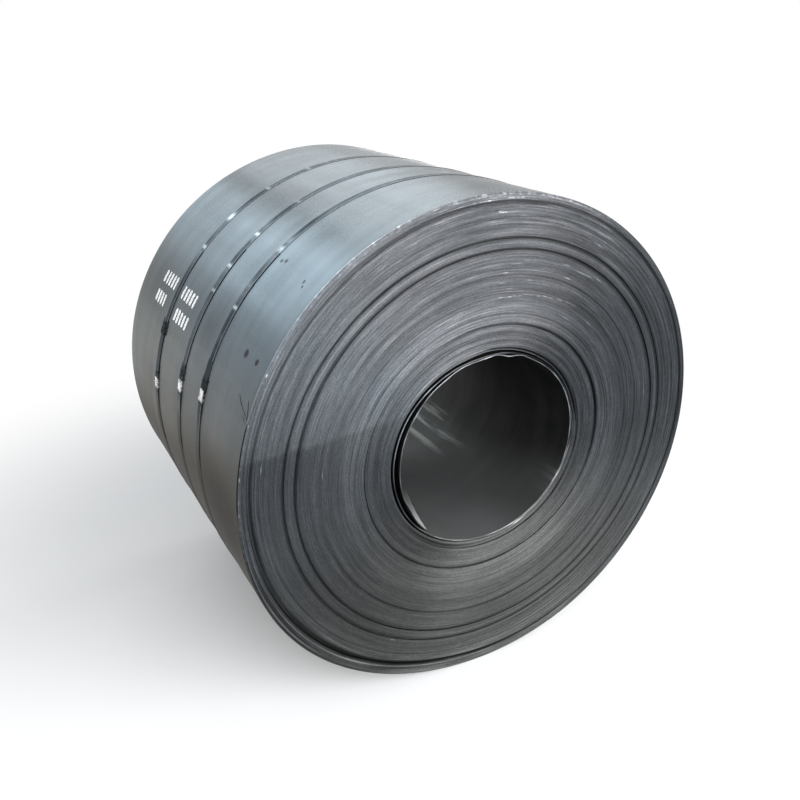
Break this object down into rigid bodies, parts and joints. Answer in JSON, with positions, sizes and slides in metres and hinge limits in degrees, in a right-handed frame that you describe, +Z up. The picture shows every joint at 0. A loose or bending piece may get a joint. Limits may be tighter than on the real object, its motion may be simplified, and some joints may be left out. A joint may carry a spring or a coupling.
{
  "type": "steel coil",
  "caption": "Coil of hot-rolled steel strip lying on its side, eye horizontal, with wound turns showing on its ends, a sprung inner tail and crimped steel belly straps.",
  "frame": {"origin": "on the floor, below the middle of the coil", "axes": "+Y along the coil's axis from its front end to its rear end, +X to the right seen from the front end, +Z up"},
  "size_m": [1.5074, 1.183, 1.4732],
  "materials": {
    "strip_steel": "satin blue-grey mill scale, bright cut edges on the ends",
    "strap_steel": "blued strapping steel, semi-gloss",
    "seal_steel": "bright zinc-plated sheet, crimped"
  },
  "bodies": {
    "root": {"coil": "strip_steel", "strap_front": "strap_steel", "strap_middle": "strap_steel", "strap_rear": "strap_steel", "seal_front": "seal_steel", "seal_middle": "seal_steel", "seal_rear": "seal_steel"}
  },
  "joints": []
}
